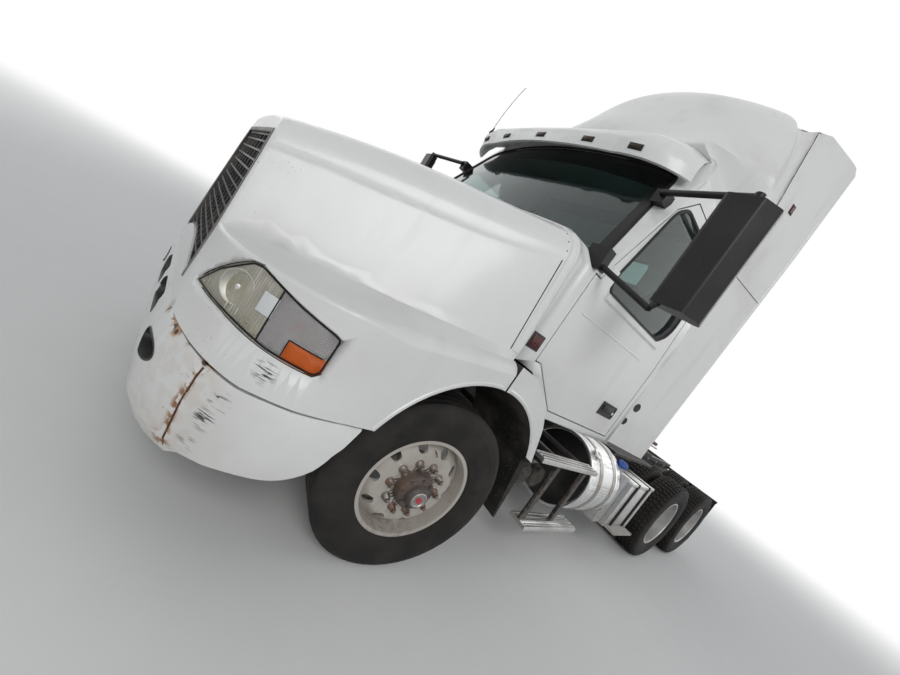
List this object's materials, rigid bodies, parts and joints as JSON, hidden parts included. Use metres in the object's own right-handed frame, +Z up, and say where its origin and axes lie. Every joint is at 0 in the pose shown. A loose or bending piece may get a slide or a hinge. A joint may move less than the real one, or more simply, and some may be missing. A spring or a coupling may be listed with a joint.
{
  "type": "semi truck tractor unit",
  "caption": "Three-axle truck tractor with a conventional hood, short cab, roof fairing and fifth wheel; hood, doors, steering and wheels move.",
  "frame": {"origin": "on the ground under the middle of the truck's length and width", "axes": "+X to the truck's left, +Y towards its rear, +Z up"},
  "size_m": [3.2368, 7.2701, 3.985],
  "materials": {
    "white_paint": "satin",
    "frame_paint": "satin",
    "casting": "rough",
    "tyre": "matte",
    "wheel_paint": "satin",
    "alloy": "satin",
    "steel": "brushed",
    "dark_plastic": "matte",
    "lamp": "gloss",
    "glazing": "gloss",
    "interior": "matte",
    "cloth": "matte",
    "rubber": "matte"
  },
  "bodies": {
    "chassis": {"frame_rails": "frame_paint", "crossmembers": "frame_paint", "front_axle": "frame_paint", "front_springs": "frame_paint", "steering_gear": "casting", "engine_block": "casting", "driveline": "casting", "radiator_pack": "alloy", "rear_axles": "frame_paint", "rear_suspension": "frame_paint", "bumper_center": "white_paint", "bumper_ends": "white_paint", "cab_mounts": "rubber", "cab_shell": "white_paint", "cab_roof": "white_paint", "cab_glass": "glazing", "dashboard": "interior", "seats": "cloth", "rear_wings": "white_paint", "sun_visor": "white_paint", "roof_fairing": "white_paint", "side_extenders": "white_paint", "mirrors": "dark_plastic", "fuel_tanks": "alloy", "tank_straps": "steel", "def_tank": "dark_plastic", "battery_box": "alloy", "exhaust_canister": "steel", "cab_steps": "alloy", "air_reservoirs": "frame_paint", "deck_plate": "frame_paint", "fifth_wheel_base": "casting", "mud_flaps": "rubber", "tail_bar": "frame_paint"},
    "hood": {"hood_shell": "white_paint", "grille": "dark_plastic", "headlamps": "lamp"},
    "door_left": {"door_left": "white_paint", "door_glass_left": "glazing"},
    "knuckle_left": {"knuckle_left": "casting"},
    "front_wheel_left": {"front_rim_left": "wheel_paint", "front_tyre_left": "tyre"},
    "axle1_wheels_left": {"axle1_rims_left": "alloy", "axle1_tyres_left": "tyre"},
    "axle2_wheels_left": {"axle2_rims_left": "alloy", "axle2_tyres_left": "tyre"},
    "door_right": {"door_right": "white_paint", "door_glass_right": "glazing"},
    "knuckle_right": {"knuckle_right": "casting"},
    "front_wheel_right": {"front_rim_right": "wheel_paint", "front_tyre_right": "tyre"},
    "axle1_wheels_right": {"axle1_rims_right": "alloy", "axle1_tyres_right": "tyre"},
    "axle2_wheels_right": {"axle2_rims_right": "alloy", "axle2_tyres_right": "tyre"},
    "tie_rod": {"tie_rod": "frame_paint"},
    "fifth_wheel": {"fifth_wheel_plate": "casting"}
  },
  "joints": [
    {"name": "hood_tilt", "type": "hinge", "parent": "chassis", "child": "hood", "pos_m": [0, -3.54, 0.755], "axis": [1, 0, 0], "range_deg": [0, 60]},
    {"name": "door_left_swing", "type": "hinge", "parent": "chassis", "child": "door_left", "pos_m": [1.116, -2.125, 1.8], "axis": [0, 0, -1], "range_deg": [0, 65]},
    {"name": "steer_left", "type": "hinge", "parent": "chassis", "child": "knuckle_left", "pos_m": [0.915, -2.355, 0.505], "axis": [0, 0, 1], "range_deg": [-29.5, 46.5]},
    {"name": "front_wheel_left_spin", "type": "hinge", "parent": "knuckle_left", "child": "front_wheel_left", "pos_m": [1.01687, -2.37022, 0.505], "axis": [0.989, -0.1478, 0], "continuous": true},
    {"name": "axle1_wheels_left_spin", "type": "hinge", "parent": "chassis", "child": "axle1_wheels_left", "pos_m": [0.9425, 1.554, 0.505], "axis": [1, 0, 0], "continuous": true},
    {"name": "axle2_wheels_left_spin", "type": "hinge", "parent": "chassis", "child": "axle2_wheels_left", "pos_m": [0.9425, 2.874, 0.505], "axis": [1, 0, 0], "continuous": true},
    {"name": "door_right_swing", "type": "hinge", "parent": "chassis", "child": "door_right", "pos_m": [-1.116, -2.125, 1.8], "axis": [0, 0, 1], "range_deg": [0, 65]},
    {"name": "steer_right", "type": "hinge", "parent": "chassis", "child": "knuckle_right", "pos_m": [-0.915, -2.355, 0.505], "axis": [0, 0, 1], "range_deg": [-29.5, 46.5]},
    {"name": "front_wheel_right_spin", "type": "hinge", "parent": "knuckle_right", "child": "front_wheel_right", "pos_m": [-1.01687, -2.33978, 0.505], "axis": [0.989, -0.1478, 0], "continuous": true},
    {"name": "axle1_wheels_right_spin", "type": "hinge", "parent": "chassis", "child": "axle1_wheels_right", "pos_m": [-0.9425, 1.554, 0.505], "axis": [1, 0, 0], "continuous": true},
    {"name": "axle2_wheels_right_spin", "type": "hinge", "parent": "chassis", "child": "axle2_wheels_right", "pos_m": [-0.9425, 2.874, 0.505], "axis": [1, 0, 0], "continuous": true},
    {"name": "tie_rod_swing", "type": "hinge", "parent": "knuckle_left", "child": "tie_rod", "pos_m": [0.89362, -2.13947, 0.36], "axis": [0, 0, 1], "range_deg": [-49.1, 31.15]},
    {"name": "fifth_wheel_rock", "type": "hinge", "parent": "chassis", "child": "fifth_wheel", "pos_m": [0, 2.095, 1.125], "axis": [1, 0, 0], "range_deg": [-10, 10]}
  ],
  "couplings": [
    {"joint": "steer_right", "follows": "steer_left", "ratio": 1},
    {"joint": "tie_rod_swing", "follows": "steer_left", "ratio": -1.056}
  ]
}
